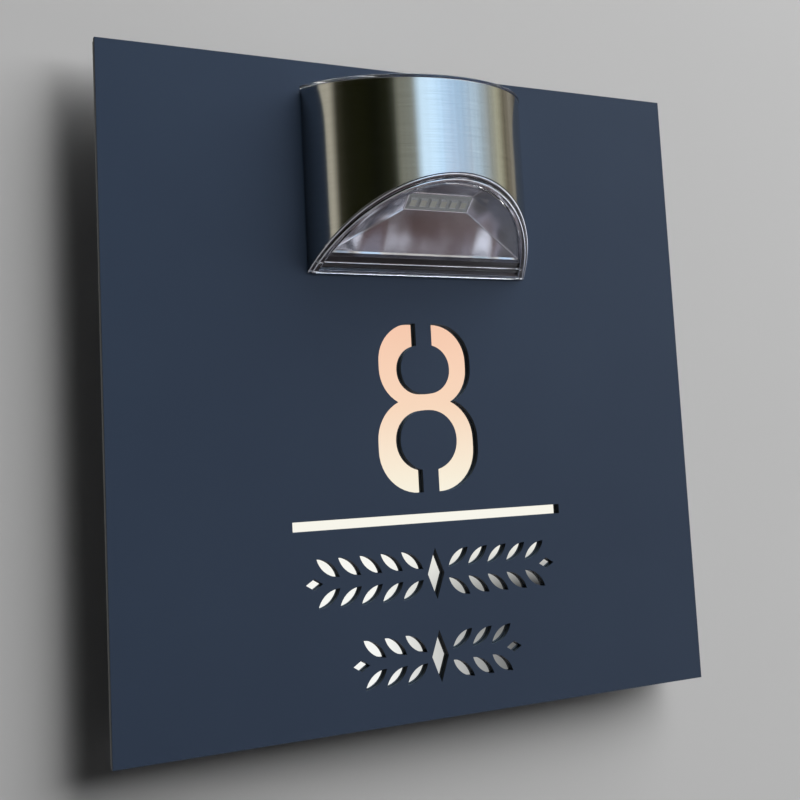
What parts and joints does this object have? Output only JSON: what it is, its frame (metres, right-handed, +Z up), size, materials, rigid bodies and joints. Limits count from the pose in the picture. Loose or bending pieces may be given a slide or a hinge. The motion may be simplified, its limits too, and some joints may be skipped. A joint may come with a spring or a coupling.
{
  "type": "illuminated house number sign",
  "caption": "Square house number plaque with stencil cut-outs over a mirror sheet and a half-moon solar lamp hung above the numeral.",
  "frame": {"origin": "centre of the four wall studs, on the wall's face", "axes": "+Z up, +X to the right seen from in front, -Y out of the wall towards the viewer"},
  "size_m": [0.3, 0.0997, 0.3],
  "materials": {
    "panel_finish": "composite sheet with a black core under a matt navy coat",
    "mirror_face": "silvered acrylic sheet, polished",
    "foam_tape": "closed-cell foam",
    "zinc_steel": "zinc plated, satin",
    "nylon": "moulded nylon, fine grain",
    "soft_rubber": "matt rubber",
    "stainless": "brushed round the shell, lightly polished",
    "black_moulding": "fine spark-eroded grain",
    "clear_plastic": "clear moulded acrylic",
    "metallised": "vacuum-metallised moulding",
    "cell_blue": "silicon cell under resin",
    "board_green": "solder mask",
    "board_white": "white solder mask",
    "led_resin": "phosphor under clear resin",
    "component_black": "epoxy and ferrite",
    "cell_wrap": "shrink sleeve",
    "spring_steel": "nickel plated",
    "wire_sleeve": "PVC insulation",
    "button_grey": "satin rubber-coated cap"
  },
  "bodies": {
    "plaque": {"front_panel": "panel_finish", "mirror_sheet": "mirror_face", "bonding_tape": "foam_tape", "stud_bases": "nylon", "wall_studs": "zinc_steel", "spacers": "nylon", "wall_pads": "soft_rubber", "hanging_screws": "zinc_steel", "hanging_washers": "zinc_steel", "hanging_nuts": "zinc_steel"},
    "lamp": {"steel_shell": "stainless", "inner_housing": "black_moulding", "back_cover": "black_moulding", "cover_seal": "soft_rubber", "cover_screws": "zinc_steel", "top_window": "clear_plastic", "solar_cell": "cell_blue", "cell_pads": "foam_tape", "lens": "clear_plastic", "lens_seal": "soft_rubber", "reflector": "metallised", "led_board": "board_white", "leds": "led_resin", "control_board": "board_green", "board_components": "component_black", "board_screws": "zinc_steel", "switch_body": "component_black", "battery": "cell_wrap", "battery_holder": "black_moulding", "holder_screws": "zinc_steel", "contact_plate": "spring_steel", "contact_spring": "spring_steel", "solar_leads": "wire_sleeve", "battery_leads": "wire_sleeve", "led_leads": "wire_sleeve"},
    "button": {"switch_button": "button_grey"}
  },
  "joints": [
    {"name": "lamp_lift", "type": "slide", "parent": "plaque", "child": "lamp", "axis": [0, 0, 1], "range_m": [0, 0.007]},
    {"name": "switch_press", "type": "slide", "parent": "lamp", "child": "button", "axis": [0, -1, 0], "range_m": [0, 0.0015], "stiffness_N_per_m": 800, "springref_m": -0.0005}
  ]
}
